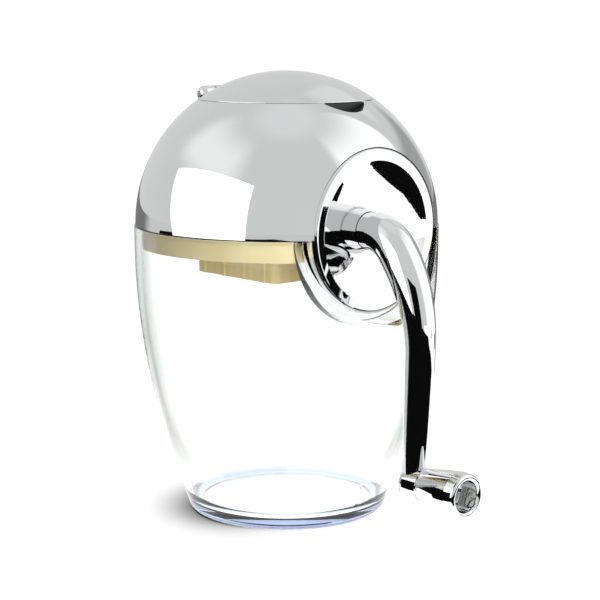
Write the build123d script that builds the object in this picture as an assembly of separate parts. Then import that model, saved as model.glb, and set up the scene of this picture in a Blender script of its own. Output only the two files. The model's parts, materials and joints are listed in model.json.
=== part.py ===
from build123d import *

import os
from math import asin, cos, pi, radians, sin, sqrt, tan

# Hand crank kitchen crusher: a clear jar, a chromed dome that stands on its rim, a lid hinged in the top
# of the dome, and a side crank that turns toothed blades between two fixed combs.
# Millimetres, +Z up, +X towards the crank, origin at the middle of the jar's foot.

# Clearances
running_fit = 0.06  # radial, a turning piece in its bearing
close_fit = 0.03  # radial, a fixed piece in its hole
slip_gap = 0.3  # a piece that lifts off or swings past its neighbour
screw_clearance = 0.2  # radial, a screw through a plain hole
skirt_gap = 0.8  # between the dome's inside and the crusher body's skirt
flat_gap = 0.4  # between the jar's pocket wall and the skirt's flat

# Dome
dome_radius = 78.0
seam_height = 150.5  # the dome's rim on the jar's rim, and the middle of the ball
dome_wall = 2.6
rim_round = 0.5
lid_height = 14.5  # from the level cut between dome and lid up to the top
ledge_width = 6.3  # level ring that the lid rests on
ledge_thickness = 2.6
post_radius = 3.6  # screw posts inside the dome
post_inset = 12.6  # from the skirt's outside in to the posts
post_turn = 55.0  # degrees off the crank's line

# Finger scallop in the dome under the lid's edge
scallop_width = 29.0
scallop_depth = 4.6
scallop_reach = 2.8  # how far it goes in under the lid's edge
scallop_wall = 2.0

# Lid and its hinge
lid_wall = 2.4
lid_lip_height = 2.5
lid_lip_wall = 1.8
lid_seam_round = 0.3  # the two edges that meet at the level cut
hinge_offset = 1.4  # hinge axis behind the lid's edge
hinge_rise = 1.5  # hinge axis above the lid's seam
hinge_radius = 4.2
hinge_half_width = 20.0
tongue_half_width = 10.2
tongue_web_height = 3.0
hinge_pad_radius = 7.4
hinge_pin_radius = 1.5
hinge_pin_inset = 1.5  # pin's end below the ear's end
hinge_pin_chamfer = 0.3

# Jar
jar_step = 0.5  # the jar's rim stands this much outside the dome
jar_wall = 3.4
jar_rim_band = 8.5  # upright band under the rim
jar_side_radius = 350.0  # the barrel's side, seen from beside it
jar_cone_height = 36.0  # straight below it
jar_base_thickness = 6.0
jar_foot_round = 5.5
jar_inner_round = 9.0
jar_rim_round = 0.6

# Crank axis and the plate's place in the side
axis_rise = 1.5  # crank axis above the seam
flat_depth = 17.2  # from the ball's side in to the flat that the crank plate lies on
facet_wall = 2.6
recess_gap = 0.3
pocket_gap = 3.5  # hollow in the jar's side round the plate
pocket_wall = 2.6
pocket_round = 1.2
window_margin = 0.9  # opening behind the plate, in dome and jar, round the dish's back

# Crank plate
plate_radius = 41.0
plate_depth = 5.8
plate_rim_width = 6.0
plate_rim_round = 2.2
plate_lip_round = 1.2  # where the rim turns into the dish
dish_depth = 5.4
plate_thickness = 1.8
plate_flange = 3.0
plate_screw_inset = 13.0
plate_screw_turn = 35.0
plate_screw_grip = 2.4
plate_boss_radius = 3.2

# Crank
collar_radius = 9.15
collar_rise = 7.2  # collar's end above the plate's seat
elbow_sink = 3.5  # the arm's first bend would begin this far inside the collar
elbow_radius = 20.0
elbow_turn = 50.0
elbow_diameter = 20.1
sweep_radius = 73.0  # the long bend down to the straight part
arm_turn = 92.0
arm_taper = (  # turn from level in degrees, diameter, down the long bend
    (elbow_turn, elbow_diameter),
    (60.0, 19.6),
    (70.0, 18.2),
    (80.0, 16.4),
    (arm_turn, 14.9),
)
crank_throw = 121.0
arm_foot_diameter = 13.2
arm_boss_radius = 8.5
arm_boss_behind = 6.1  # boss from the arm's centre line, towards the body
arm_boss_ahead = 7.4  # and towards the knob
arm_boss_round = 4.5

# Knob and its pin
washer_thickness = 0.8
knob_washer_radius = 8.0
knob_length = 26.4
knob_flare_length = 20.6  # from the neck to the widest place
knob_neck_radius = 8.4
knob_radius = 11.3
knob_fullness = 0.58  # how much of the flare is reached half way along it
knob_end_taper = 0.4
knob_rim_wall = 3.7
knob_rim_round = 1.6
knob_recess_depth = 11.8
knob_pin_radius = 3.0
knob_pin_head_radius = 4.8
knob_pin_head = 2.6
knob_pin_round = 0.8
knob_pin_slot = 1.2  # its width and its depth
knob_pin_grip = 10.5  # pin inside the arm's boss

# Crusher body (ivory)
skirt_wall = 2.4
skirt_drop = 10.5  # skirt below the seam
deck_thickness = 2.5
chamber_end_margin = 1.2  # along the shaft, outside the combs' outer pitch
chamber_half_width = 35.35
chamber_wall = 2.4
chamber_corner = 4.0
chute_drop = 26.5  # chute's lower end below the crank axis
chamber_rise = 32.0  # chamber's top above the crank axis
gusset_thickness = 2.0
gusset_depth = 8.0
gusset_spread = 22.0
chute_rib_width = 1.6
chute_rib_height = 0.9
chute_rib_pitch = 15.6
chute_rib_count = 4  # on each long side
boss_wall = 2.5
rear_boss_length = 4.0

# Feed funnel (ivory)
funnel_wall = 2.0
funnel_lip_drop = 3.5
funnel_flange_reach = 3.8  # flange under the ledge, beyond the mouth
funnel_flange = 2.4
throat_flat = 0.5  # keeps the throat's outline a rounded square of eight edges for the loft

# Rotor
blade_count = 5
blade_pitch = 10.0
blade_thickness = 2.0
blade_tip_radius = 22.0
blade_hub_radius = 10.5
teeth_per_blade = 4
tooth_sink = 1.5  # tooth's root below the hub's edge
tooth_edges = (  # share of the way from root to tip, and degrees: cutting face, land, then the notch
    (0.0, -14.0),
    (0.49, -10.0),
    (1.0, 4.0),
    (0.92, 13.0),
    (0.66, 15.0),
    (0.71, 25.0),
)
tooth_back = (0.36, 42.0)  # middle of the curved back
tooth_foot = (0.0, 58.0)
hexagon_flats = 10.0
spacer_radius = 8.4
front_journal_radius = 6.0
rear_journal_radius = 4.0
arm_spigot_radius = 5.0
spigot_flat = 4.4  # the flat's distance from the shaft's axis
spigot_length = 8.4  # inside the arm
bush_wall = 2.0
bush_flange = 1.4
bush_flange_reach = 2.4
thrust_washer_inset = 0.35  # inside the collar's edge
clip_groove_depth = 0.8
clip_thickness = 1.0
clip_reach = 2.4  # clip's edge outside the shaft
clip_mouth = 5.4
tail_length = 2.5  # shaft behind its clip
grub_radius = 2.0
grub_inset = 4.4  # from the collar's end
grub_length = 6.0
grub_socket_radius = 1.0
grub_socket_depth = 2.0

# Fixed combs
comb_plate = 2.5
comb_end_margin = 0.5  # plate beyond the last prong
comb_drop = 13.0  # plate below the crank axis
comb_rise = 15.0  # and above it
comb_round = 3.0
prong_thickness = 3.0
prong_tip_distance = 13.0  # from the shaft's axis
prong_tip_height = 5.0
prong_root_height = 19.0
prong_hollow = 0.16  # share of the root's extra height that is left half way along
comb_screw_drop = 5.0  # below the comb's upper edge

# Screws
screw_radius = 1.5
screw_head_radius = 2.9
screw_head_height = 2.0
screw_head_round = 0.9
slot_width = 0.8
slot_depth = 0.9
body_screw_length = 14.0

# Heights and places worked out from the sizes above
far = 2 * (seam_height + dome_radius)  # further than any piece reaches
axis_height = seam_height + axis_rise
deck_top = seam_height + deck_thickness
lid_seam_height = seam_height + dome_radius - lid_height
lid_edge_radius = sqrt(dome_radius**2 - (lid_seam_height - seam_height) ** 2)
mouth_radius = lid_edge_radius - ledge_width
ledge_under = lid_seam_height - ledge_thickness
scallop_back = lid_edge_radius - scallop_reach
hinge_back = lid_edge_radius + hinge_offset
hinge_height = lid_seam_height + hinge_rise
lip_radius = mouth_radius - slip_gap
throat_radius = lip_radius - funnel_wall
funnel_flange_radius = mouth_radius + funnel_flange_reach
jar_rim_radius = dome_radius + jar_step
jar_shoulder_height = seam_height - jar_rim_band
plate_seat = dome_radius - flat_depth
pocket_face = plate_seat - slip_gap
pocket_radius = plate_radius + pocket_gap
plate_rim_front = plate_seat + plate_depth
plate_dish_front = plate_rim_front - dish_depth
plate_hole = collar_radius + slip_gap
dish_edge = plate_radius - plate_rim_width
plate_screw_circle = plate_radius - plate_screw_inset
skirt_radius = dome_radius - dome_wall - skirt_gap
skirt_lower_edge = seam_height - skirt_drop
skirt_flat = pocket_face - pocket_wall - flat_gap
post_circle = skirt_radius - post_inset
prong_count = blade_count + 1
chamber_half_length = prong_count / 2 * blade_pitch + chamber_end_margin
chamber_inner_length = chamber_half_length - chamber_wall
chamber_inner_width = chamber_half_width - chamber_wall
chamber_top = axis_height + chamber_rise
chute_bottom = axis_height - chute_drop
comb_half_length = (prong_count - 1) / 2 * blade_pitch + prong_thickness / 2 + comb_end_margin
comb_lower = axis_height - comb_drop
comb_upper = axis_height + comb_rise
comb_screw_height = comb_upper - comb_screw_drop
comb_screw_spread = (prong_count / 2 - 1) * blade_pitch
tooth_root_radius = blade_hub_radius - tooth_sink
front_bush_radius = front_journal_radius + bush_wall
rear_bush_radius = rear_journal_radius + bush_wall
bush_flange_radius = front_bush_radius + bush_flange_reach
front_boss_radius = front_bush_radius + boss_wall
rear_boss_radius = rear_bush_radius + boss_wall
front_boss_end = skirt_flat
bush_face = chamber_inner_length - bush_flange
rear_end = chamber_half_length + rear_boss_length
clip_start = rear_end + washer_thickness + 2 * running_fit
clip_outer_radius = rear_journal_radius + clip_reach
shaft_tail = clip_start + clip_thickness + tail_length
collar_start = front_boss_end + washer_thickness + 2 * running_fit
collar_end = plate_seat + collar_rise
thrust_washer_radius = collar_radius - thrust_washer_inset
elbow_start = collar_end - elbow_sink
spigot_end = collar_end + spigot_length
grub_place = collar_end + grub_inset
knob_height = axis_height - crank_throw


def rod_x(radius, start, end, y=0.0, z=axis_height):
    return Pos((start + end) / 2, y, z) * Rot(0, 90, 0) * Cylinder(radius, end - start)


def rod_y(radius, start, end, x, z):
    return Pos(x, (start + end) / 2, z) * Rot(90, 0, 0) * Cylinder(radius, end - start)


def rod_z(radius, start, end, x=0.0, y=0.0):
    return Pos(x, y, (start + end) / 2) * Cylinder(radius, end - start)


def block(x_range, y_range, z_range):
    middle = [(low + high) / 2 for low, high in (x_range, y_range, z_range)]
    return Pos(*middle) * Box(x_range[1] - x_range[0], y_range[1] - y_range[0], z_range[1] - z_range[0])


def ball_point(radius, turn):
    # a point of the dome's outline, turned up from the level of the ball's middle
    return radius * cos(turn), seam_height + radius * sin(turn)


def turned_ball(edges):
    # the turned solid's own seam line goes to +Y, where no piece crosses it
    return Rot(0, 0, 90) * revolve(Plane.XZ * make_face(edges), Axis.Z)


def ball_slice(radius, low, high):
    # the ball's part between two levels
    start = asin((low - seam_height) / radius)
    end = asin((high - seam_height) / radius)
    foot = ball_point(radius, start)
    half_way = ball_point(radius, (start + end) / 2)
    head = ball_point(radius, end)
    edges = [
        Line((0, low), foot),
        ThreePointArc(foot, half_way, head),
        Line(head, (0, high)),
        Line((0, high), (0, low)),
    ]
    return turned_ball(edges)


def ball_cap(radius, low):
    # the ball's part above a level
    start = asin((low - seam_height) / radius)
    foot = ball_point(radius, start)
    half_way = ball_point(radius, (start + pi / 2) / 2)
    top = (0, seam_height + radius)
    return turned_ball([Line((0, low), foot), ThreePointArc(foot, half_way, top), Line(top, (0, low))])


def widest_ring(solid, place):
    # the outer of the two round edges at the solid's foot (0) or head (-1)
    rings = solid.edges().filter_by(GeomType.CIRCLE)
    level = rings.sort_by(Axis.Z)[place].center().Z
    same = rings.filter_by_position(Axis.Z, level - close_fit, level + close_fit)
    return same.sort_by(SortBy.RADIUS)[-1]


def column(half_length, half_width, corner, low, high):
    outline = RectangleRounded(2 * half_length, 2 * half_width, corner)
    return Pos(0, 0, low) * extrude(outline, high - low)


def hexagon_rod(flats, start, end):
    outline = RegularPolygon(flats / 2, 6, major_radius=False)
    return extrude(Plane((start, 0, axis_height), x_dir=(0, 1, 0), z_dir=(1, 0, 0)) * outline, end - start)


def pan_screw(tip, head, length):
    # a slotted pan-head screw that stands on its head's underside at the origin and points along +Z
    shank = rod_z(tip, 0, length)
    pan = rod_z(head, -screw_head_height, 0)
    pan = fillet(pan.edges().filter_by(GeomType.CIRCLE).sort_by(Axis.Z)[0], screw_head_round)
    slot_floor = slot_depth - screw_head_height
    slot = block((-head, head), (-slot_width / 2, slot_width / 2), (-screw_head_height, slot_floor))
    return pan + shank - slot


# Jar


def barrel(inset, bottom, foot_round):
    # the barrel's outline at a distance inside its outer surface, turned round the axis
    middle = jar_rim_radius - jar_side_radius
    radius = jar_side_radius - inset
    turn = asin((jar_shoulder_height - jar_cone_height) / jar_side_radius)
    cone_top = (middle + radius * cos(turn), jar_shoulder_height - radius * sin(turn))
    half_way = (middle + radius * cos(turn / 2), jar_shoulder_height - radius * sin(turn / 2))
    foot = cone_top[0] - (cone_top[1] - bottom) * tan(turn)
    shoulder = (middle + radius, jar_shoulder_height)
    edges = [
        Line((0, bottom), (foot, bottom)),
        Line((foot, bottom), cone_top),
        ThreePointArc(cone_top, half_way, shoulder),
        Line(shoulder, (shoulder[0], seam_height)),
        Line((shoulder[0], seam_height), (0, seam_height)),
        Line((0, seam_height), (0, bottom)),
    ]
    solid = revolve(Plane.XZ * make_face(edges), Axis.Z)
    foot_edge = solid.edges().filter_by(GeomType.CIRCLE).sort_by(Axis.Z)[0]
    return fillet(foot_edge, foot_round)


def make_jar():
    outer = barrel(0, 0, jar_foot_round)
    rim_edge = outer.edges().filter_by(GeomType.CIRCLE).sort_by(Axis.Z)[-1]
    outer = fillet(rim_edge, jar_rim_round)
    pocket = rod_x(pocket_radius, pocket_face, far)
    corner = pocket.edges().filter_by(GeomType.CIRCLE).sort_by(Axis.X)[0]
    pocket = fillet(corner, pocket_round)
    outer -= pocket
    hollow = barrel(jar_wall, jar_base_thickness, jar_inner_round)
    hollow -= rod_x(pocket_radius + pocket_wall, pocket_face - pocket_wall, far)
    window = rod_x(window_radius(), pocket_face - 2 * pocket_wall, plate_seat)
    return outer - hollow - window


# Dome


def post_places():
    for turn in (post_turn, 180 - post_turn, 180 + post_turn, -post_turn):
        yield post_circle * cos(radians(turn)), post_circle * sin(radians(turn))


def scallop(extra):
    # a level drum whose foot dips below the lid's edge, with a wall of that thickness round it
    radius = ((scallop_width / 2) ** 2 + scallop_depth**2) / (2 * scallop_depth)
    middle = lid_seam_height - scallop_depth + radius
    return rod_x(radius + extra, scallop_back - extra, dome_radius, z=middle)


def hinge_ears():
    ears = None
    for side in (-1, 1):
        inner = side * (tongue_half_width + slip_gap * 2)
        outer = side * (hinge_half_width - hinge_radius)
        ear = rod_y(hinge_radius, min(inner, outer), max(inner, outer), -hinge_back, hinge_height)
        ear += Pos(-hinge_back, outer, hinge_height) * Sphere(hinge_radius)
        ears = ear if ears is None else ears + ear
    return ears


def make_dome_shell():
    outer = ball_slice(dome_radius, seam_height, lid_seam_height)
    core = ball_slice(dome_radius - dome_wall / 2, seam_height, lid_seam_height)
    shell = outer - ball_slice(dome_radius - dome_wall, seam_height, lid_seam_height)
    shell = fillet(widest_ring(shell, 0), rim_round)
    shell = fillet(widest_ring(shell, -1), lid_seam_round)
    ledge = ball_slice(dome_radius - dome_wall / 2, ledge_under, lid_seam_height)
    facet = rod_x(plate_radius + recess_gap + facet_wall, plate_seat - facet_wall, dome_radius) & outer
    hinge_pad = rod_y(hinge_pad_radius, -hinge_half_width, hinge_half_width, -hinge_back, hinge_height) & core
    scallop_cup = scallop(scallop_wall) & core
    dome = shell + ledge + hinge_pad + scallop_cup + facet
    for x, y in post_places():
        dome += rod_z(post_radius, deck_top, lid_seam_height, x, y) & core
    dome -= rod_x(plate_radius + recess_gap, plate_seat, far)
    dome -= rod_x(window_radius(), plate_seat - 2 * facet_wall, plate_seat + 1)
    dome -= rod_z(mouth_radius, seam_height, far)
    dome -= scallop(0)
    slot_half_width = tongue_half_width + slip_gap * 2
    dome -= rod_y(hinge_radius + slip_gap, -slot_half_width, slot_half_width, -hinge_back, hinge_height)
    dome += hinge_ears()
    pin_hole = hinge_pin_radius + close_fit
    dome -= rod_y(pin_hole, -hinge_half_width, hinge_half_width, -hinge_back, hinge_height)
    for x, y in post_places():
        dome -= rod_z(screw_radius + close_fit, deck_top, deck_top + body_screw_length, x, y)
    for x, y, z in plate_screw_places():
        dome -= rod_x(screw_radius + screw_clearance, plate_seat - 2 * facet_wall, plate_seat + 1, y, z)
    return dome


# Lid


def make_lid():
    cap = ball_cap(dome_radius, lid_seam_height) - ball_cap(dome_radius - lid_wall, lid_seam_height)
    cap = fillet(widest_ring(cap, 0), lid_seam_round)
    lip_foot = lid_seam_height - lid_lip_height
    lip_outer = throat_radius - slip_gap
    lip = rod_z(lip_outer, lip_foot, far) - rod_z(lip_outer - lid_lip_wall, lip_foot, far)
    lip &= ball_cap(dome_radius - lid_wall / 2, lip_foot)
    barrel_piece = rod_y(hinge_radius, -tongue_half_width, tongue_half_width, -hinge_back, hinge_height)
    web = block(
        (-hinge_back, -mouth_radius),
        (-tongue_half_width, tongue_half_width),
        (lid_seam_height, lid_seam_height + tongue_web_height),
    )
    web -= ball_cap(dome_radius - lid_wall, ledge_under)
    for side in (-1, 1):
        inner = side * tongue_half_width
        outer = side * (hinge_half_width + slip_gap)
        cap -= rod_y(hinge_radius + slip_gap, min(inner, outer), max(inner, outer), -hinge_back, hinge_height)
    lid = cap + lip + web + barrel_piece
    bore = hinge_pin_radius + running_fit
    return lid - rod_y(bore, -hinge_half_width, hinge_half_width, -hinge_back, hinge_height)


def make_lid_hinge_pin():
    half_length = hinge_half_width - hinge_pin_inset
    pin = rod_y(hinge_pin_radius, -half_length, half_length, -hinge_back, hinge_height)
    return chamfer(pin.edges().filter_by(GeomType.CIRCLE), hinge_pin_chamfer)


# Crusher body and funnel


def make_crusher_body():
    ring = rod_z(skirt_radius, skirt_lower_edge, deck_top)
    ring &= block((-far, skirt_flat), (-far, far), (0, far))
    inside = rod_z(skirt_radius - skirt_wall, skirt_lower_edge, seam_height)
    inside &= block((-far, skirt_flat - skirt_wall), (-far, far), (0, far))
    body = ring - inside
    body += column(chamber_half_length, chamber_half_width, chamber_corner, chute_bottom, chamber_top)
    under_deck = (seam_height - gusset_depth, seam_height)
    half = gusset_thickness / 2
    gussets = block((-half, half), (-skirt_radius, skirt_radius), under_deck)
    for y in (-gusset_spread, gusset_spread):
        gussets += block((-skirt_radius, skirt_flat), (y - half, y + half), under_deck)
    body += gussets & rod_z(skirt_radius - skirt_wall / 2, 0, deck_top)
    for side in (-1, 1):
        rib_root = side * (chamber_half_width - chamber_wall / 2)
        rib_top = side * (chamber_half_width + chute_rib_height)
        for index in range(chute_rib_count):
            middle = (index - (chute_rib_count - 1) / 2) * chute_rib_pitch
            rib_width = (middle - chute_rib_width / 2, middle + chute_rib_width / 2)
            body += block(rib_width, sorted((rib_root, rib_top)), (chute_bottom, seam_height))
    body += rod_x(front_boss_radius, chamber_inner_length, front_boss_end)
    body += rod_x(rear_boss_radius, -rear_end, -chamber_inner_length)
    inner_corner = chamber_corner - chamber_wall
    body -= column(chamber_inner_length, chamber_inner_width, inner_corner, chute_bottom, chamber_top)
    body -= rod_x(front_bush_radius + close_fit, 0, far)
    body -= rod_x(rear_bush_radius + close_fit, -far, 0)
    body -= rod_x(rear_boss_radius + slip_gap, -shaft_tail - slip_gap, -rear_end)
    for x, y in post_places():
        body -= rod_z(screw_radius + screw_clearance, seam_height, deck_top, x, y)
    across = chamber_half_width
    for x in (-comb_screw_spread, comb_screw_spread):
        body -= rod_y(screw_radius + screw_clearance, -across, across, x, comb_screw_height)
    return body


def make_feed_funnel():
    # round throat in the dome's mouth, opening down to the chamber's rounded rectangle
    seat = chamber_top + funnel_wall
    flange_low = ledge_under - funnel_flange

    def shell(grow):
        length = 2 * (chamber_inner_length + grow)
        width = 2 * (chamber_inner_width + grow)
        low = RectangleRounded(length, width, chamber_corner - chamber_wall + grow)
        size = 2 * (throat_radius + grow)
        high = RectangleRounded(size, size, size / 2 - throat_flat)
        return loft([Pos(0, 0, seat) * low, Pos(0, 0, flange_low) * high])

    def socket(grow, top):
        length = chamber_half_length + close_fit + grow
        width = chamber_half_width + close_fit + grow
        return column(length, width, chamber_corner + close_fit + grow, chamber_top - funnel_lip_drop, top)

    outer = shell(funnel_wall)
    outer += rod_z(lip_radius, flange_low, lid_seam_height - slip_gap)
    flange = rod_z(funnel_flange_radius, flange_low, ledge_under)
    flange_back = hinge_pad_radius + slip_gap - hinge_back
    flange_front = scallop_back - scallop_wall - slip_gap
    flange &= block((flange_back, flange_front), (-far, far), (flange_low, ledge_under))
    outer += flange
    skirt = socket(funnel_wall, seat) - socket(0, chamber_top)
    hollow = shell(0)
    hollow += rod_z(throat_radius, flange_low, lid_seam_height)
    inner_corner = chamber_corner - chamber_wall
    hollow += column(chamber_inner_length, chamber_inner_width, inner_corner, chamber_top - funnel_wall, seat)
    return outer + skirt - hollow


# Combs and blades, the crushing mechanism


def prong_outline(side):
    # a pointed prong in a plane square to the shaft: hollow above and below, rounded at the tip
    root = chamber_inner_width - comb_plate
    middle = (comb_lower + comb_upper) / 2
    low_root = (side * (root + comb_plate / 2), middle - prong_root_height / 2)
    high_root = (side * (root + comb_plate / 2), middle + prong_root_height / 2)
    tip_base = prong_tip_distance + prong_tip_height / 2
    low_tip = (side * tip_base, middle - prong_tip_height / 2)
    high_tip = (side * tip_base, middle + prong_tip_height / 2)
    half_way = side * (tip_base + root) / 2
    waist = prong_tip_height / 2 + (prong_root_height - prong_tip_height) * prong_hollow
    return make_face(
        [
            ThreePointArc(low_root, (half_way, middle - waist), low_tip),
            ThreePointArc(low_tip, (side * prong_tip_distance, middle), high_tip),
            ThreePointArc(high_tip, (half_way, middle + waist), high_root),
            Line(high_root, low_root),
        ]
    )


def make_fixed_comb(side):
    outer = side * chamber_inner_width
    inner = side * (chamber_inner_width - comb_plate)
    comb = block((-comb_half_length, comb_half_length), sorted((inner, outer)), (comb_lower, comb_upper))
    comb = fillet(comb.edges().filter_by(Axis.Y), comb_round)
    outline = prong_outline(side)
    for index in range(prong_count):
        place = (index - (prong_count - 1) / 2) * blade_pitch
        plane = Plane((place - prong_thickness / 2, 0, 0), x_dir=(0, 1, 0), z_dir=(1, 0, 0))
        comb += extrude(plane * outline, prong_thickness)
    for x in (-comb_screw_spread, comb_screw_spread):
        comb -= rod_y(screw_radius + close_fit, *sorted((inner, outer)), x, comb_screw_height)
    return comb


def make_comb_screws():
    screws = []
    length = chamber_wall + comb_plate
    for side in (-1, 1):
        for x in (-comb_screw_spread, comb_screw_spread):
            place = Pos(x, side * chamber_half_width, comb_screw_height) * Rot(90 * side, 0, 0)
            screws.append(place * pan_screw(screw_radius, screw_head_radius, length))
    return screws


def tooth_outline():
    # one hooked tooth: an upright cutting face, a short land, a notch and a curved back
    def polar(share, turn):
        radius = tooth_root_radius + share * (blade_tip_radius - tooth_root_radius)
        return radius * cos(radians(turn)), radius * sin(radians(turn))

    points = [polar(*place) for place in tooth_edges]
    edges = [Line(start, end) for start, end in zip(points, points[1:])]
    edges.append(ThreePointArc(points[-1], polar(*tooth_back), polar(*tooth_foot)))
    edges.append(Line(polar(*tooth_foot), (0, 0)))
    edges.append(Line((0, 0), points[0]))
    return make_face(edges)


def blade_places():
    for index in range(blade_count):
        yield index, (index - (blade_count - 1) / 2) * blade_pitch


def make_rotor_blades():
    blades = []
    for index, place in blade_places():
        plane = Plane((place - blade_thickness / 2, 0, axis_height), x_dir=(0, 1, 0), z_dir=(1, 0, 0))
        outline = Circle(blade_hub_radius)
        for tooth in range(teeth_per_blade):
            outline += Rot(0, 0, tooth * 360 / teeth_per_blade) * tooth_outline()
        outline = Rot(0, 0, index * 60) * outline
        blade = extrude(plane * outline, blade_thickness)
        blade -= hexagon_rod(hexagon_flats + 2 * close_fit, place - blade_thickness, place + blade_thickness)
        blades.append(blade)
    return blades


def make_blade_spacers():
    spacers = []
    for index, place in blade_places():
        if index < blade_count - 1:
            start = place + blade_thickness / 2
            end = place + blade_pitch - blade_thickness / 2
            bore = hexagon_rod(hexagon_flats + 2 * close_fit, start - 1, end + 1)
            spacers.append(rod_x(spacer_radius, start, end) - bore)
    return spacers


def make_end_spacers():
    start = (blade_count - 1) / 2 * blade_pitch + blade_thickness / 2
    end = bush_face - running_fit
    bore = hexagon_rod(hexagon_flats + 2 * close_fit, -end - 1, end + 1)
    return [rod_x(spacer_radius, start, end) - bore, rod_x(spacer_radius, -end, -start) - bore]


def make_rotor_shaft():
    shaft = hexagon_rod(hexagon_flats, -bush_face + running_fit, bush_face - running_fit)
    shaft += rod_x(front_journal_radius, bush_face - running_fit, collar_start)
    shaft += rod_x(arm_spigot_radius, collar_start, spigot_end)
    shaft += rod_x(rear_journal_radius, -shaft_tail, -bush_face + running_fit)
    groove = rod_x(2 * rear_journal_radius, -clip_start - clip_thickness, -clip_start)
    groove -= rod_x(rear_journal_radius - clip_groove_depth, -shaft_tail, 0)
    shaft -= groove
    under = axis_height - spigot_flat
    across = (-arm_spigot_radius, arm_spigot_radius)
    return shaft - block((collar_end, spigot_end + 1), across, (under - arm_spigot_radius, under))


# Bearings, washers and clip


def make_front_bushing():
    bush = rod_x(front_bush_radius, bush_face, front_boss_end)
    bush += rod_x(bush_flange_radius, bush_face, chamber_inner_length)
    return bush - rod_x(front_journal_radius + running_fit, 0, far)


def make_rear_bushing():
    bush = rod_x(rear_bush_radius, -rear_end, -bush_face)
    bush += rod_x(bush_flange_radius, -chamber_inner_length, -bush_face)
    return bush - rod_x(rear_journal_radius + running_fit, -far, 0)


def make_rear_washer():
    start = rear_end + running_fit
    end = start + washer_thickness
    washer = rod_x(rear_boss_radius, -end, -start)
    return washer - rod_x(rear_journal_radius + close_fit, -end, -start)


def make_shaft_clip():
    # an open retaining ring in the shaft's groove
    back = -clip_start - clip_thickness
    ring = rod_x(clip_outer_radius, back, -clip_start)
    ring -= rod_x(rear_journal_radius - clip_groove_depth + close_fit, back, -clip_start)
    mouth = (-clip_mouth / 2, clip_mouth / 2)
    return ring - block((back, -clip_start), mouth, (axis_height - clip_outer_radius, axis_height))


def make_thrust_washer():
    start = front_boss_end + running_fit
    washer = rod_x(thrust_washer_radius, start, start + washer_thickness)
    return washer - rod_x(front_journal_radius + close_fit, start, start + washer_thickness)


# Crank plate, crank and knob


def plate_screw_places():
    for turn in (plate_screw_turn, 180 - plate_screw_turn):
        across = plate_screw_circle * cos(radians(turn))
        rise = plate_screw_circle * sin(radians(turn))
        yield plate_seat, across, axis_height + rise


def dish_front(radius):
    # the dish is a shallow parabola from the hole's edge up to the rim
    return plate_dish_front + dish_depth * (radius**2 - plate_hole**2) / (dish_edge**2 - plate_hole**2)


def window_radius():
    # the opening behind the plate clears the part of the dish that dips below the plate's seat
    dip = (plate_thickness + plate_seat - plate_dish_front) / dish_depth
    return sqrt(plate_hole**2 + dip * (dish_edge**2 - plate_hole**2)) + window_margin


def make_crank_plate():
    # outline above the axis with its length along X, turned round the axis
    rim_back = plate_rim_front - plate_thickness
    half_way = (plate_hole + dish_edge) / 2
    inner_edge = plate_radius - plate_flange
    front = [(plate_rim_front, dish_edge), (dish_front(half_way), half_way), (plate_dish_front, plate_hole)]
    back = [(x - plate_thickness, radius) for x, radius in reversed(front)]
    edges = [
        Line((plate_seat, plate_radius), (plate_rim_front, plate_radius)),
        Line((plate_rim_front, plate_radius), front[0]),
        ThreePointArc(*front),
        Line(front[-1], back[0]),
        ThreePointArc(*back),
        Line(back[-1], (rim_back, inner_edge)),
        Line((rim_back, inner_edge), (plate_seat, inner_edge)),
        Line((plate_seat, inner_edge), (plate_seat, plate_radius)),
    ]
    plate = Pos(0, 0, axis_height) * revolve(Plane.XZ * make_face(edges), Axis.X)

    def front_edge(radius):
        circles = plate.edges().filter_by(GeomType.CIRCLE)
        return circles.filter_by(lambda edge: abs(edge.radius - radius) < slip_gap).sort_by(Axis.X)[-1]

    plate = fillet(front_edge(plate_radius), plate_rim_round)
    plate = fillet(front_edge(dish_edge), plate_lip_round)
    boss_top = dish_front(plate_screw_circle) - plate_thickness / 2
    for x, y, z in plate_screw_places():
        plate += rod_x(plate_boss_radius, x, boss_top, y, z)
        plate -= rod_x(screw_radius + close_fit, x, boss_top, y, z)
    return plate


def make_crank_plate_screws():
    screws = []
    length = facet_wall + plate_screw_grip
    for x, y, z in plate_screw_places():
        place = Pos(x - facet_wall, y, z) * Rot(0, 90, 0)
        screws.append(place * pan_screw(screw_radius, screw_head_radius, length))
    return screws


def make_crank_collar():
    collar = rod_x(collar_radius, collar_start, collar_end)
    return collar - rod_x(arm_spigot_radius + close_fit, collar_start, collar_end)


def arm_station(turn):
    # a point on the arm's centre line, given how far the line has turned down from level
    centre_x, centre_z, radius = elbow_start, axis_height - elbow_radius, elbow_radius
    if turn > elbow_turn:
        bend = radians(elbow_turn)
        centre_x -= (sweep_radius - elbow_radius) * sin(bend)
        centre_z -= (sweep_radius - elbow_radius) * cos(bend)
        radius = sweep_radius
    return centre_x + radius * sin(radians(turn)), centre_z + radius * cos(radians(turn))


def arm_section(x, z, turn, diameter):
    along = (cos(radians(turn)), 0, -sin(radians(turn)))
    return Plane((x, 0, z), x_dir=(0, 1, 0), z_dir=along) * Circle(diameter / 2)


def arm_bend(start, end):
    stations = [arm_station(turn) for turn in (start, (start + end) / 2, end)]
    return ThreePointArc(*[(x, 0, z) for x, z in stations])


def arm_foot():
    # where the straight part's centre line crosses the knob's height
    x, z = arm_station(arm_turn)
    return x - (z - knob_height) * tan(radians(arm_turn - 90))


def arm_boss_front():
    return arm_foot() + arm_boss_ahead


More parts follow.
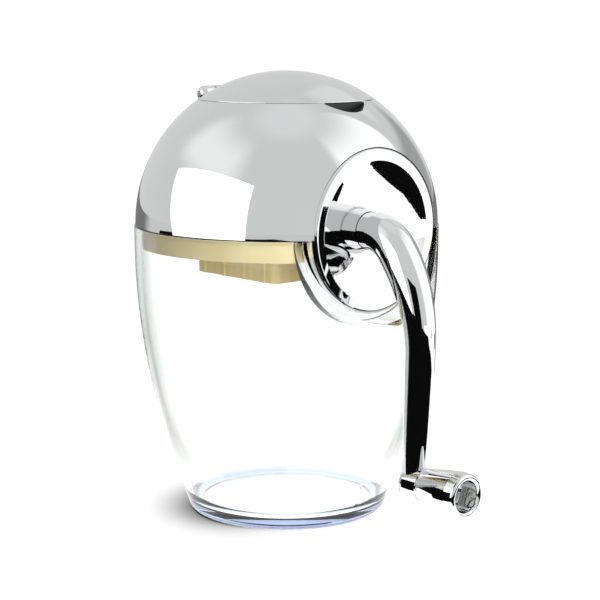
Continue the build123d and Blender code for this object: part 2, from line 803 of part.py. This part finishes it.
def make_crank_arm():
    elbow = sweep(arm_section(*arm_station(0), 0, elbow_diameter), path=arm_bend(0, elbow_turn))
    elbow &= block((collar_end, far), (-far, far), (0, far))
    sections = [arm_section(*arm_station(turn), turn, diameter) for turn, diameter in arm_taper]
    long_bend = sweep(sections, path=arm_bend(elbow_turn, arm_turn), multisection=True)
    straight = loft([sections[-1], arm_section(arm_foot(), knob_height, arm_turn, arm_foot_diameter)])
    arm = elbow + long_bend + straight
    boss = rod_x(arm_boss_radius, arm_foot() - arm_boss_behind, arm_boss_front(), z=knob_height)
    back_edge = boss.edges().filter_by(GeomType.CIRCLE).sort_by(Axis.X)[0]
    arm += fillet(back_edge, arm_boss_round)
    arm -= rod_x(arm_spigot_radius + close_fit, 0, spigot_end + slip_gap)
    pin_tip = arm_boss_front() - knob_pin_grip
    arm -= rod_x(knob_pin_radius + close_fit, pin_tip - slip_gap, arm_boss_front(), z=knob_height)
    return arm - rod_z(grub_radius + close_fit, axis_height - 2 * collar_radius, axis_height, grub_place)


def make_crank_grub_screw():
    top = axis_height - spigot_flat
    screw = rod_z(grub_radius, top - grub_length, top, grub_place)
    socket = extrude(RegularPolygon(grub_socket_radius, 6, major_radius=False), grub_socket_depth)
    return screw - Pos(grub_place, 0, top - grub_length) * socket


def knob_start():
    return arm_boss_front() + washer_thickness + 2 * running_fit


def recess_floor():
    return knob_start() + knob_length - knob_recess_depth


def make_knob():
    # outline above the knob's axis, turned round it
    start = knob_start()
    widest = start + knob_flare_length
    end = start + knob_length
    recess = knob_radius - knob_rim_wall
    swell = knob_neck_radius + (knob_radius - knob_neck_radius) * knob_fullness
    end_radius = knob_radius - knob_end_taper
    edges = [
        Line((start, 0), (start, knob_neck_radius)),
        ThreePointArc((start, knob_neck_radius), ((start + widest) / 2, swell), (widest, knob_radius)),
        Line((widest, knob_radius), (end, end_radius)),
        Line((end, end_radius), (end, recess)),
        Line((end, recess), (recess_floor(), recess)),
        Line((recess_floor(), recess), (recess_floor(), 0)),
        Line((recess_floor(), 0), (start, 0)),
    ]
    knob = Pos(0, 0, knob_height) * revolve(Plane.XZ * make_face(edges), Axis.X)
    circles = knob.edges().filter_by(GeomType.CIRCLE)
    knob = fillet(circles.filter_by(lambda edge: edge.center().X > end - close_fit), knob_rim_round)
    return knob - rod_x(knob_pin_radius + running_fit, start - 1, end, z=knob_height)


def make_knob_pin():
    head_start = recess_floor() + running_fit
    end = head_start + knob_pin_head
    pin = rod_x(knob_pin_radius, arm_boss_front() - knob_pin_grip, head_start, z=knob_height)
    head = rod_x(knob_pin_head_radius, head_start, end, z=knob_height)
    edge = head.edges().filter_by(GeomType.CIRCLE).sort_by(Axis.X)[-1]
    head = fillet(edge, knob_pin_round)
    across = (-knob_pin_head_radius, knob_pin_head_radius)
    slot_height = (knob_height - knob_pin_slot / 2, knob_height + knob_pin_slot / 2)
    return pin + head - block((end - knob_pin_slot, end), across, slot_height)


def make_knob_washer():
    start = arm_boss_front() + running_fit
    washer = rod_x(knob_washer_radius, start, start + washer_thickness, z=knob_height)
    return washer - rod_x(knob_pin_radius + close_fit, start, start + washer_thickness, z=knob_height)


def make_body_screws():
    screws = []
    for x, y in post_places():
        screws.append(Pos(x, y, seam_height) * pan_screw(screw_radius, screw_head_radius, body_screw_length))
    return screws


def write(name, solids):
    solids = solids if isinstance(solids, list) else [solids]
    pieces = [piece for solid in solids for piece in solid.solids()]
    export_step(pieces[0] if len(pieces) == 1 else Compound(pieces), f"parts/{name}.step")


os.makedirs("parts", exist_ok=True)
write("jar", make_jar())
write("dome_shell", make_dome_shell())
write("lid", make_lid())
write("lid_hinge_pin", make_lid_hinge_pin())
write("crusher_body", make_crusher_body())
write("feed_funnel", make_feed_funnel())
write("fixed_comb_left", make_fixed_comb(-1))
write("fixed_comb_right", make_fixed_comb(1))
write("comb_screws", make_comb_screws())
write("rotor_shaft", make_rotor_shaft())
write("rotor_blades", make_rotor_blades())
write("blade_spacers", make_blade_spacers())
write("end_spacers", make_end_spacers())
write("front_bushing", make_front_bushing())
write("rear_bushing", make_rear_bushing())
write("rear_washer", make_rear_washer())
write("shaft_clip", make_shaft_clip())
write("thrust_washer", make_thrust_washer())
write("crank_plate", make_crank_plate())
write("crank_plate_screws", make_crank_plate_screws())
write("crank_collar", make_crank_collar())
write("crank_arm", make_crank_arm())
write("crank_grub_screw", make_crank_grub_screw())
write("knob", make_knob())
write("knob_pin", make_knob_pin())
write("knob_washer", make_knob_washer())
write("body_screws", make_body_screws())
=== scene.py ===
import json
from math import cos, radians, sin, tau

import bpy
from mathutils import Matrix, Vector

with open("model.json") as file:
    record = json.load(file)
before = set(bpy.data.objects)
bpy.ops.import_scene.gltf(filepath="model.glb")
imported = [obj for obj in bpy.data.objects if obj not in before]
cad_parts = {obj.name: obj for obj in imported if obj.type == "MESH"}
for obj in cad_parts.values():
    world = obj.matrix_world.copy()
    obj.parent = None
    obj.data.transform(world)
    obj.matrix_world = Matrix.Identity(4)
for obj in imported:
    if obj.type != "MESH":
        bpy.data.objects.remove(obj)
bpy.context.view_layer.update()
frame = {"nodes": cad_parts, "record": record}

mm = 0.001  # every length below is written in millimetres and brought to metres with this
scene = bpy.context.scene
scene.view_settings.view_transform = "Standard"
print("frame loaded:", len(frame["nodes"]), "nodes")


def linear(hexText):
    shares = [int(hexText[i:i + 2], 16) / 255 for i in (1, 3, 5)]
    return [s / 12.92 if s <= 0.04045 else ((s + 0.055) / 1.055) ** 2.4 for s in shares] + [1.0]


def addNode(tree, kind, inputs=None, **settings):
    # an input is a value, a socket, or a node, whose first working output is then linked
    made = tree.nodes.new(kind)
    for name, value in settings.items():
        setattr(made, name, value)
    for key, value in (inputs or {}).items():
        if isinstance(value, bpy.types.Node):
            value = next(socket for socket in value.outputs if socket.enabled)
        if isinstance(value, bpy.types.NodeSocket):
            tree.links.new(value, made.inputs[key])
        else:
            made.inputs[key].default_value = value
    return made


def link(tree, target, **wanted):
    # a space in a socket's name is written as an underscore
    for key, node in wanted.items():
        output = next(socket for socket in node.outputs if socket.enabled)
        tree.links.new(output, target.inputs[key.replace("_", " ")])


# camera, at the photograph's place and angle
camera = {
    "place": (666.45, -589.65, 260.55),
    "target": (4.59, 5.18, 109.67),
    "lens": 103.8,
    "sensor": 36.0,
    "nearest": 50.0,  # nothing closer than this is drawn
}
cameraData = bpy.data.cameras.new("camera")
cameraData.lens = camera["lens"]
cameraData.sensor_width = camera["sensor"]
cameraData.clip_start = camera["nearest"] * mm
cameraData.dof.use_dof = False
cameraObject = bpy.data.objects.new("camera", cameraData)
cameraObject.location = Vector(camera["place"]) * mm
sight = Vector(camera["target"]) - Vector(camera["place"])
cameraObject.rotation_euler = sight.to_track_quat("-Z", "Y").to_euler()
scene.collection.objects.link(cameraObject)
scene.camera = cameraObject
print("camera set")


# studio: white for the eye, a grey tent with bright and dark panels for the chrome
studio = {
    "eye": 1.02,
    "tent": 0.72,
    "ambient": 0.09,  # what the plastic gets from all round
    "key": 6.8,  # and from the window on the right
    "keyToward": (0.96, -0.13, 0.21),
    "keyWidth": 3.0,
    "backdrop": 1.25,  # white sheet that shows through the clear jar
    "pastBackdrop": 0.55,  # grey room past the sheet's edges
}
# where the sheet and the tent's panels are: azimuth from the front (-Y) towards +X, elevation, and how far
# each side fades (left, right, foot, top), all in degrees
backdrop = {"azimuth": (180, 277), "elevation": (-60, 40), "fade": (26, 26, 20, 30)}
panels = [
    {"azimuth": (-70, 2), "elevation": (30, 58), "fade": (24, 26, 14, 24), "level": 0.30},  # over the softbox
    {"azimuth": (102, 173), "elevation": (-40, 58), "fade": (14, 4, 8, 34), "level": 0.58},  # window
    {"azimuth": (176, 206), "elevation": (-30, 22), "fade": (6, 9, 6, 9), "level": -0.32},  # dark far corner
    {"azimuth": (184, 214), "elevation": (34, 60), "fade": (6, 8, 6, 12), "level": 0.12},  # above that corner
    {"azimuth": (-400, 400), "elevation": (72, 120), "fade": (1, 1, 16, 1), "level": 0.10},  # ceiling
]
halfTurn = 180


def makeBand(tree, angle, limits, fades):
    # 1 between two angles given in degrees, 0 outside, with soft ends
    low, high = limits
    ends = ((low - fades[0] / 2, low + fades[0] / 2), (high + fades[1] / 2, high - fades[1] / 2))
    slopes = [
        addNode(
            tree,
            "ShaderNodeMapRange",
            {"Value": angle, "From Min": radians(start), "From Max": radians(end)},
            interpolation_type="SMOOTHSTEP",
        )
        for start, end in ends
    ]
    return addNode(tree, "ShaderNodeMath", dict(enumerate(slopes)), operation="MULTIPLY")


def makePatch(tree, angles, patch):
    # 1 on a panel of the tent, 0 off it; a panel past the back is measured all the way round
    left, right, foot, top = patch["fade"]
    start, end = patch["azimuth"]
    turn = angles["around"] if start > 0 and end > halfTurn else angles["turn"]
    across = makeBand(tree, turn, (start, end), (left, right))
    upright = makeBand(tree, angles["rise"], patch["elevation"], (foot, top))
    return addNode(tree, "ShaderNodeMath", {0: across, 1: upright}, operation="MULTIPLY")


def makeWorld():
    world = bpy.data.worlds.new("studioTent")
    world.use_nodes = True
    scene.world = world
    tree = world.node_tree
    tree.nodes.clear()
    way = addNode(tree, "ShaderNodeTexCoord").outputs["Generated"]
    parts = addNode(tree, "ShaderNodeSeparateXYZ", {"Vector": way}).outputs
    rise = addNode(tree, "ShaderNodeMath", {0: parts["Z"]}, operation="ARCSINE")
    front = addNode(tree, "ShaderNodeMath", {0: parts["Y"], 1: -1.0}, operation="MULTIPLY")
    turn = addNode(tree, "ShaderNodeMath", {0: parts["X"], 1: front}, operation="ARCTAN2")
    around = addNode(tree, "ShaderNodeMath", {0: turn, 1: tau}, operation="FLOORED_MODULO")
    angles = {"rise": rise, "turn": turn, "around": around}

    level = studio["tent"]
    for panel in panels:
        inputs = {0: makePatch(tree, angles, panel), 1: panel["level"], 2: level}
        level = addNode(tree, "ShaderNodeMath", inputs, operation="MULTIPLY_ADD")

    sheet = makePatch(tree, angles, backdrop)
    through = addNode(tree, "ShaderNodeMix", {0: sheet, 2: studio["pastBackdrop"], 3: studio["backdrop"]})

    toward = Vector(studio["keyToward"]).normalized()
    facing = addNode(tree, "ShaderNodeVectorMath", {0: way, 1: toward}, operation="DOT_PRODUCT")
    ahead = addNode(tree, "ShaderNodeMath", {0: facing, 1: 0.0}, operation="MAXIMUM")
    lobe = addNode(tree, "ShaderNodeMath", {0: ahead, 1: studio["keyWidth"]}, operation="POWER")
    lit = addNode(
        tree,
        "ShaderNodeMath",
        {0: lobe, 1: studio["key"], 2: studio["ambient"]},
        operation="MULTIPLY_ADD",
    )

    # a ray bent by the jar counts as a mirrored one too, so the order of these matters
    path = addNode(tree, "ShaderNodeLightPath").outputs
    seen = studio["eye"]
    for ray, other in (("Glossy Depth", level), ("Is Transmission Ray", through), ("Diffuse Depth", lit)):
        once = addNode(tree, "ShaderNodeMath", {0: path[ray], 1: 1.0}, operation="MINIMUM")
        seen = addNode(tree, "ShaderNodeMix", {0: once, 2: seen, 3: other})
    shader = addNode(tree, "ShaderNodeBackground", {"Color": (1, 1, 1, 1), "Strength": seen})
    addNode(tree, "ShaderNodeOutputWorld", {"Surface": shader})


makeWorld()


def makeMesh(name, points, faces, material):
    mesh = bpy.data.meshes.new(name)
    mesh.from_pydata([Vector(p) * mm for p in points], [], faces)
    mesh.materials.append(material)
    piece = bpy.data.objects.new(name, mesh)
    scene.collection.objects.link(piece)
    return piece


def glowMaterial(name):
    made = bpy.data.materials.new(name)
    made.use_nodes = True
    made.node_tree.nodes.clear()
    glow = addNode(made.node_tree, "ShaderNodeEmission", {"Color": (1, 1, 1, 1)})
    addNode(made.node_tree, "ShaderNodeOutputMaterial", {"Surface": glow})
    return made, made.node_tree, glow


# floor: pale table, evenly lit and as bright to the eye as the room behind, with a small shadow at the foot
floorSizes = {
    "radius": 4000.0,
    "sides": 96,
    "drop": 0.2,  # how far it lies under the foot
    "shadowReach": 29.0,
    "shadowSamples": 32,
    # the shadow is weak towards the window and strong away from it
    "shadowSide": {"From Min": -0.4, "From Max": 1.0, "To Min": 0.14, "To Max": 0.85},
    # open floor is as bright as the room behind, and closed-in floor is black
    "shadowDepth": {"From Min": 0.03, "From Max": 0.75, "To Min": 1.02, "To Max": 0.0},
    "bounce": (0.06, 0.80),  # what it throws up at the plastic, on its dim and on its bright side
    "mirror": (0.68, 1.45),  # and at the chrome
    "through": (0.60, 1.35),  # and through the jar, to the side and in line with the backdrop
    "behindGrey": 0.20,  # the grey strip behind, which lines the edges of the chrome
    "shadowToward": (-0.80, -0.60),  # away from the window
    "brightToward": (0.225, 0.974),  # the side that the window lights
    "behindToward": (-0.749, 0.663),
}
# where each share of the floor starts and where it is full, by distance or by how far it lies in a direction
floorFades = {
    "near": (299 * mm, 161 * mm),  # white round the foot
    "bright": (0.0, 200 * mm),
    "behind": (0.50, 0.72),
    "farOff": (300 * mm, 400 * mm),
    "inLine": (0.66, 0.88),
    "atFoot": (150 * mm, 60 * mm),
}


def makeFloor():
    made, tree, glow = glowMaterial("paleLaminateTable")
    path = addNode(tree, "ShaderNodeLightPath").outputs
    place = addNode(tree, "ShaderNodeTexCoord").outputs["Object"]
    away = addNode(tree, "ShaderNodeVectorMath", {0: place}, operation="LENGTH")
    turned = addNode(tree, "ShaderNodeVectorMath", {0: place}, operation="NORMALIZE")
    shadowWay, brightWay, behindWay = [
        addNode(
            tree,
            "ShaderNodeVectorMath",
            {0: vector, 1: (*floorSizes[name], 0.0)},
            operation="DOT_PRODUCT",
        )
        for name, vector in (("shadowToward", turned), ("brightToward", place), ("behindToward", turned))
    ]
    inLine = addNode(tree, "ShaderNodeMath", {0: behindWay}, operation="ABSOLUTE")
    measures = {
        "near": away,
        "bright": brightWay,
        "behind": behindWay,
        "farOff": away,
        "inLine": inLine,
        "atFoot": away,
    }
    shares = {}
    for name, measure in measures.items():
        start, end = floorFades[name]
        shares[name] = addNode(
            tree,
            "ShaderNodeMapRange",
            {"Value": measure, "From Min": start, "From Max": end},
            interpolation_type="SMOOTHSTEP",
        )

    # to the eye
    unshaded = addNode(
        tree,
        "ShaderNodeAmbientOcclusion",
        {"Distance": floorSizes["shadowReach"] * mm},
        samples=floorSizes["shadowSamples"],
    )
    closed = addNode(tree, "ShaderNodeMath", {0: 1.0, 1: unshaded.outputs["AO"]}, operation="SUBTRACT")
    side = addNode(
        tree,
        "ShaderNodeMapRange",
        {"Value": shadowWay, **floorSizes["shadowSide"]},
        interpolation_type="SMOOTHSTEP",
    )
    shade = addNode(tree, "ShaderNodeMath", {0: closed, 1: side}, operation="MULTIPLY")
    eye = addNode(
        tree,
        "ShaderNodeMapRange",
        {"Value": shade, **floorSizes["shadowDepth"]},
        interpolation_type="SMOOTHSTEP",
    )

    # to the plastic, the chrome and through the jar
    white = addNode(tree, "ShaderNodeMath", {0: shares["bright"], 1: shares["near"]}, operation="MAXIMUM")
    strip = addNode(tree, "ShaderNodeMath", {0: shares["behind"], 1: shares["farOff"]}, operation="MULTIPLY")
    inFront = addNode(tree, "ShaderNodeMath", {0: shares["inLine"], 1: shares["atFoot"]}, operation="MAXIMUM")
    levels = {}
    for name, share in (("bounce", shares["bright"]), ("mirror", white), ("through", inFront)):
        low, high = floorSizes[name]
        levels[name] = addNode(tree, "ShaderNodeMix", {0: share, 2: low, 3: high})
    mirror = addNode(tree, "ShaderNodeMix", {0: strip, 2: levels["mirror"], 3: floorSizes["behindGrey"]})

    level = eye
    rays = (
        ("Is Glossy Ray", mirror),
        ("Is Transmission Ray", levels["through"]),
        ("Is Diffuse Ray", levels["bounce"]),
    )
    for ray, other in rays:
        level = addNode(tree, "ShaderNodeMix", {0: path[ray], 2: level, 3: other})
    link(tree, glow, Strength=level)
    count = floorSizes["sides"]
    radius = floorSizes["radius"]
    turns = [tau * i / count for i in range(count)]
    ring = [(radius * cos(turn), radius * sin(turn), -floorSizes["drop"]) for turn in turns]
    makeMesh("floor", ring, [list(range(count))], made)


makeFloor()

# cards that only reflections see; a corner without a height lies just over the table
dark = 0.004
flat = 0.3
cards = {
    "softbox": {
        "level": 1.7,
        "corners": [(-1187, -822, 821), (506, -1281, 1002), (478, -1421, -8), (-940, -1012, 4)],
    },
    # unlit floor in front, from beside the foot to about 2 m away
    "darkFloor": {
        "level": dark,
        "corners": [
            (56, -44), (0, -84), (-79, -117), (-330, -200), (-900, -460), (-1500, -900), (-1300, -1500),
            (-400, -1900), (500, -2000), (1400, -1700), (1500, -500), (1060, 60), (915, 222), (695, 213),
            (578, 212), (467, 217), (348, 256), (252, 292), (215, 120), (170, -90), (92, -92),
        ],
    },
    # dark things on and over the floor, which the knob, the arm, the plate's dish and its rim reflect
    "lowFlag": {
        "level": dark,
        "corners": [(-79, -117, 0), (40, -215, 0), (40, -215, 92), (-79, -117, 92)],
    },
    "armFlag": {
        "level": dark,
        "corners": [(122, -51, 72), (156, -30, 72), (156, -30, 152), (122, -51, 152)],
    },
    "darkStand": {
        "level": dark,
        "corners": [(120, 440), (218, 440), (236, 518), (250, 605), (205, 720), (80, 720)],
    },
    "darkRail": {
        "level": dark,
        "corners": [(640, 436), (1180, 930), (1100, 990), (570, 500)],
    },
}
for name, card in cards.items():
    corners = [(*corner, flat)[:3] for corner in card["corners"]]
    material, tree, glow = glowMaterial(name + "Light")
    glow.inputs["Strength"].default_value = card["level"]
    piece = makeMesh(name, corners, [list(range(len(corners)))], material)
    for ray in ("camera", "diffuse", "transmission", "shadow"):
        setattr(piece, "visible_" + ray, False)
print("studio built")


def newMaterial(name, **values):
    made = bpy.data.materials.new(name)
    made.use_nodes = True
    tree = made.node_tree
    shader = tree.nodes["Principled BSDF"]
    for key, value in values.items():
        shader.inputs[key.replace("_", " ")].default_value = value
    place = addNode(tree, "ShaderNodeTexCoord").outputs["Object"]
    return made, tree, shader, place


def shades(look):
    # the two colours that a mix goes between
    return {6: linear(look["light"]), 7: linear(look["deep"])}


# in every look below, a pattern's size is in millimetres, and a stretch above 1 makes it shorter that way
ball = {"centre": (0.0, 0.0, 150.5), "radius": 78.0}
plate = {
    "light": "#e9eaea",
    "deep": "#e3e4e5",
    "cloud": 40.0,
    "wiped": (1, 1, 6),
    "markLimits": (0.45, 0.75),  # the noise below the first leaves no mark
}
moulded = {**plate, "marks": 1.2, "rough": (0.015, 0.045), "wave": 26.0, "waveDepth": 0.03}
cast = {**plate, "marks": 0.9, "rough": (0.015, 0.05), "wave": 14.0, "waveDepth": 0.02}
# near-black inside of the ball: partly the bare unplated moulding, partly painted shade of the hollow under
# the lid
bareAndShadedInside = {
    "light": "#0b0b0c",
    "deep": "#131314",
    "grain": 0.5,
    "rough": 0.38,
    "under": (0.75, 0.45),  # how far under the ball's outside the plate ends, and where it is whole
}


def chrome(name, look, shadedInside=None):
    # bright chrome plate: a mirror with a faint waviness from the part below and hair-fine wiping marks,
    # which are drawn about 1 mm wide, because their real 0.05 mm would not show
    made, tree, shader, place = newMaterial(name, Metallic=1.0)
    wiped = addNode(tree, "ShaderNodeVectorMath", {0: place, 1: look["wiped"]}, operation="MULTIPLY")
    marks = addNode(
        tree,
        "ShaderNodeTexNoise",
        {"Vector": wiped, "Scale": 1 / (look["marks"] * mm), "Detail": 3.0},
    )
    start, end = look["markLimits"]
    smooth, dull = look["rough"]
    rough = addNode(
        tree,
        "ShaderNodeMapRange",
        {"Value": marks, "From Min": start, "From Max": end, "To Min": smooth, "To Max": dull},
    )
    cloud = addNode(tree, "ShaderNodeTexNoise", {"Vector": place, "Scale": 1 / (look["cloud"] * mm)})
    colour = addNode(tree, "ShaderNodeMix", {0: cloud, **shades(look)}, data_type="RGBA")
    if shadedInside:  # inside the ball the moulding shows where the plate doesn't reach; its near-black is partly bare plastic and partly painted shade of the hollow under the lid
        centre = [c * mm for c in ball["centre"]]
        out = addNode(tree, "ShaderNodeVectorMath", {0: place, 1: centre}, operation="DISTANCE")
        ends, whole = [(ball["radius"] - depth) * mm for depth in shadedInside["under"]]
        chromeShare = addNode(tree, "ShaderNodeMapRange", {"Value": out, "From Min": ends, "From Max": whole})
        grain = addNode(tree, "ShaderNodeTexNoise", {"Vector": place, "Scale": 1 / (shadedInside["grain"] * mm)})
        insideShadeColour = addNode(tree, "ShaderNodeMix", {0: grain, **shades(shadedInside)}, data_type="RGBA")
        colour = addNode(tree, "ShaderNodeMix", {0: chromeShare, 6: insideShadeColour, 7: colour}, data_type="RGBA")
        rough = addNode(tree, "ShaderNodeMix", {0: chromeShare, 2: shadedInside["rough"], 3: rough})
        link(tree, shader, Metallic=chromeShare)
    wave = addNode(
        tree,
        "ShaderNodeTexNoise",
        {"Vector": place, "Scale": 1 / (look["wave"] * mm), "Detail": 1.0},
    )
    bump = addNode(
        tree,
        "ShaderNodeBump",
        {"Height": wave, "Distance": look["waveDepth"] * mm, "Strength": 1.0},
    )
    link(tree, shader, Base_Color=colour, Roughness=rough, Normal=bump)
    return made


def acrylic():
    # clear moulded acrylic: polished, slightly wavy where it flowed, grey-green where it is seen edge on
    # (partly the tint of its thickness, partly painted shade for the darker room seen through its edges),
    # cold blue where the foot is thick
    look = {
        "clear": "#fdfefd",
        "edge": "#dbe1da",
        "edgeFrom": 0.52,
        "edgeFull": 0.76,
        "thick": "#a0b6e8",
        "inside": "#b4c6e6",
        "density": 6.0,
        "tintTop": 10.0,
        "tintFoot": 0.0,
        "tintFrom": 43.0,
        "tintFull": 52.0,
        "flow": 34.0,
        "flowStretch": (1, 1, 0.4),
        "flowDepth": 0.05,
    }
    made, tree, shader, place = newMaterial(
        "clearAcrylic",
        Roughness=0.012,
        IOR=1.49,
        Transmission_Weight=1.0,
    )
    level = addNode(tree, "ShaderNodeVectorMath", {0: place, 1: (1, 1, 0)}, operation="MULTIPLY")
    out = addNode(tree, "ShaderNodeVectorMath", {0: level}, operation="LENGTH")
    height = addNode(tree, "ShaderNodeSeparateXYZ", {"Vector": place}).outputs["Z"]
    slopes = [
        addNode(
            tree,
            "ShaderNodeMapRange",
            {"Value": value, "From Min": look[start] * mm, "From Max": look[end] * mm},
            interpolation_type="SMOOTHSTEP",
        )
        for value, start, end in ((height, "tintTop", "tintFoot"), (out, "tintFrom", "tintFull"))
    ]
    low = addNode(tree, "ShaderNodeMath", dict(enumerate(slopes)), operation="MULTIPLY")
    # painted shade: the walls turn darker grey-green the more edge on they are seen
    facing = addNode(tree, "ShaderNodeLayerWeight").outputs["Facing"]
    edgeOn = addNode(
        tree,
        "ShaderNodeMapRange",
        {"Value": facing, "From Min": look["edgeFrom"], "From Max": look["edgeFull"]},
        interpolation_type="SMOOTHSTEP",
    )
    clear, edge = linear(look["clear"]), linear(look["edge"])
    wallWithEdgeShade = addNode(tree, "ShaderNodeMix", {0: edgeOn, 6: clear, 7: edge}, data_type="RGBA")
    colour = addNode(tree, "ShaderNodeMix", {0: low, 6: wallWithEdgeShade, 7: linear(look["thick"])}, data_type="RGBA")
    depths = {"Color": linear(look["inside"]), "Density": look["density"]}
    inside = addNode(tree, "ShaderNodeVolumeAbsorption", depths)
    link(tree, tree.nodes["Material Output"], Volume=inside)
    flowing = addNode(tree, "ShaderNodeVectorMath", {0: place, 1: look["flowStretch"]}, operation="MULTIPLY")
    flow = addNode(
        tree,
        "ShaderNodeTexNoise",
        {"Vector": flowing, "Scale": 1 / (look["flow"] * mm), "Detail": 1.0},
    )
    bump = addNode(
        tree,
        "ShaderNodeBump",
        {"Height": flow, "Distance": look["flowDepth"] * mm, "Strength": 1.0},
    )
    link(tree, shader, Base_Color=colour, Normal=bump)
    return made


def ivory():
    # moulded ivory ABS: warm, slightly translucent, with spark-eroded grain, and darker stripes on the chute
    # that are painted shade standing in for sink lines over the ribs; the grain's real 0.1 mm is drawn 0.35
    # mm wide, to show
    look = {
        "light": "#f3e6b8",
        "deep": "#ead79c",
        "band": "#dfc675",
        "bandShare": (0.35, 0.6),
        "pitch": 5.2,  # of the painted shade stripes on the chute
        "chuteTop": (133.0, 131.0),  # they start under the first height and are full under the second
        "mottle": 16.0,
        "grain": 0.35,
        "grainDepth": 0.02,
        "rough": (0.24, 0.40),
    }
    made, tree, shader, place = newMaterial(
        "mouldedIvoryPlastic",
        Subsurface_Weight=0.12,
        Subsurface_Scale=0.004,
        Subsurface_Radius=(1.0, 0.8, 0.35),
    )
    mottle = addNode(tree, "ShaderNodeTexNoise", {"Vector": place, "Scale": 1 / (look["mottle"] * mm)})
    body = addNode(tree, "ShaderNodeMix", {0: mottle, **shades(look)}, data_type="RGBA")
    parts = addNode(tree, "ShaderNodeSeparateXYZ", {"Vector": place}).outputs
    # painted shade: darker, yellower vertical stripes on the chute's walls, standing in for the shading of
    # the ribs under them
    along = addNode(tree, "ShaderNodeMath", {0: parts["X"], 1: parts["Y"]}, operation="ADD")
    phase = addNode(tree, "ShaderNodeMath", {0: along, 1: tau / (look["pitch"] * mm)}, operation="MULTIPLY")
    wave = addNode(tree, "ShaderNodeMath", {0: phase}, operation="SINE")
    least, most = look["bandShare"]
    lines = addNode(
        tree,
        "ShaderNodeMapRange",
        {"Value": wave, "From Min": -1.0, "To Min": least, "To Max": most},
    )
    start, full = look["chuteTop"]
    chute = addNode(
        tree,
        "ShaderNodeMapRange",
        {"Value": parts["Z"], "From Min": start * mm, "From Max": full * mm},
        interpolation_type="SMOOTHSTEP",
    )
    share = addNode(tree, "ShaderNodeMath", {0: lines, 1: chute}, operation="MULTIPLY")
    colour = addNode(tree, "ShaderNodeMix", {0: share, 6: body, 7: linear(look["band"])}, data_type="RGBA")
    grain = addNode(tree, "ShaderNodeTexNoise", {"Vector": place, "Scale": 1 / (look["grain"] * mm)})
    smooth, dull = look["rough"]
    rough = addNode(tree, "ShaderNodeMapRange", {"Value": grain, "To Min": smooth, "To Max": dull})
    bump = addNode(
        tree,
        "ShaderNodeBump",
        {"Height": grain, "Distance": look["grainDepth"] * mm, "Strength": 1.0},
    )
    link(tree, shader, Base_Color=colour, Roughness=rough, Normal=bump)
    return made


def acetal():
    # turned white acetal: waxy, with the lathe's rings, 0.8 mm apart instead of 0.1, to show
    look = {
        "light": "#e4e3dc",
        "deep": "#d2d1c8",
        "cloud": 3.0,
        "ring": 0.8,
        "ringDepth": 0.01,
        "rough": (0.42, 0.55),
    }
    waveRate = 20  # the wave texture runs through this many radians in one unit
    made, tree, shader, place = newMaterial("turnedAcetal", Subsurface_Weight=0.2, Subsurface_Scale=0.003)
    cloud = addNode(tree, "ShaderNodeTexNoise", {"Vector": place, "Scale": 1 / (look["cloud"] * mm)})
    colour = addNode(tree, "ShaderNodeMix", {0: cloud, **shades(look)}, data_type="RGBA")
    smooth, dull = look["rough"]
    rough = addNode(tree, "ShaderNodeMix", {0: cloud, 2: smooth, 3: dull})
    rings = addNode(
        tree,
        "ShaderNodeTexWave",
        {"Vector": place, "Scale": tau / (waveRate * look["ring"] * mm), "Distortion": 0.4},
        bands_direction="X",
    )
    bump = addNode(
        tree,
        "ShaderNodeBump",
        {"Height": rings, "Distance": look["ringDepth"] * mm, "Strength": 1.0},
    )
    link(tree, shader, Base_Color=colour, Roughness=rough, Normal=bump)
    return made


turnedSteel = {
    "light": "#c6c5c2",
    "deep": "#b2b1ae",
    "cloud": 6.0,
    "line": 1.6,
    "stretch": (7, 1, 1),
    "rough": (0.18, 0.34),
    "depth": 0.008,
}
castSteel = {
    "light": "#bdbdba",
    "deep": "#a3a3a0",
    "cloud": 3.0,
    "line": 0.5,
    "stretch": (1, 1, 1),
    "rough": (0.30, 0.48),
    "depth": 0.03,
}
stampedSteel = {
    "light": "#cbcbc8",
    "deep": "#b6b6b3",
    "cloud": 8.0,
    "line": 2.0,
    "stretch": (1, 8, 1),
    "rough": (0.20, 0.36),
    "depth": 0.008,
}


def steel(name, look):
    # stainless steel: lines of the tool that cut, cast or rolled it, and a soft change of grey
    made, tree, shader, place = newMaterial(name, Metallic=1.0)
    cloud = addNode(tree, "ShaderNodeTexNoise", {"Vector": place, "Scale": 1 / (look["cloud"] * mm)})
    colour = addNode(tree, "ShaderNodeMix", {0: cloud, **shades(look)}, data_type="RGBA")
    drawn = addNode(tree, "ShaderNodeVectorMath", {0: place, 1: look["stretch"]}, operation="MULTIPLY")
    lines = addNode(
        tree,
        "ShaderNodeTexNoise",
        {"Vector": drawn, "Scale": 1 / (look["line"] * mm), "Detail": 3.0},
    )
    smooth, dull = look["rough"]
    rough = addNode(tree, "ShaderNodeMapRange", {"Value": lines, "To Min": smooth, "To Max": dull})
    bump = addNode(
        tree,
        "ShaderNodeBump",
        {"Height": lines, "Distance": look["depth"] * mm, "Strength": 1.0},
    )
    link(tree, shader, Base_Color=colour, Roughness=rough, Normal=bump)
    return made


finishes = {
    "jar_clear": acrylic(),
    "dome_chrome": chrome("chromedMoulding", moulded, bareAndShadedInside),
    "plate_chrome": chrome("chromedPressing", cast),
    "crank_chrome": chrome("chromedCasting", cast),
    "knob_chrome": chrome("chromedTurning", cast),
    "ivory": ivory(),
    "bearing_plastic": acetal(),
    "steel": steel("turnedStainless", turnedSteel),
    "comb_steel": steel("castStainless", castSteel),
    "blade_steel": steel("stampedStainless", stampedSteel),
}
for subpart in frame["record"]["subparts"]:
    node = frame["nodes"][subpart["node"]]
    node.data.materials.clear()
    node.data.materials.append(finishes[subpart["material_slot"]])
print("finishes given")
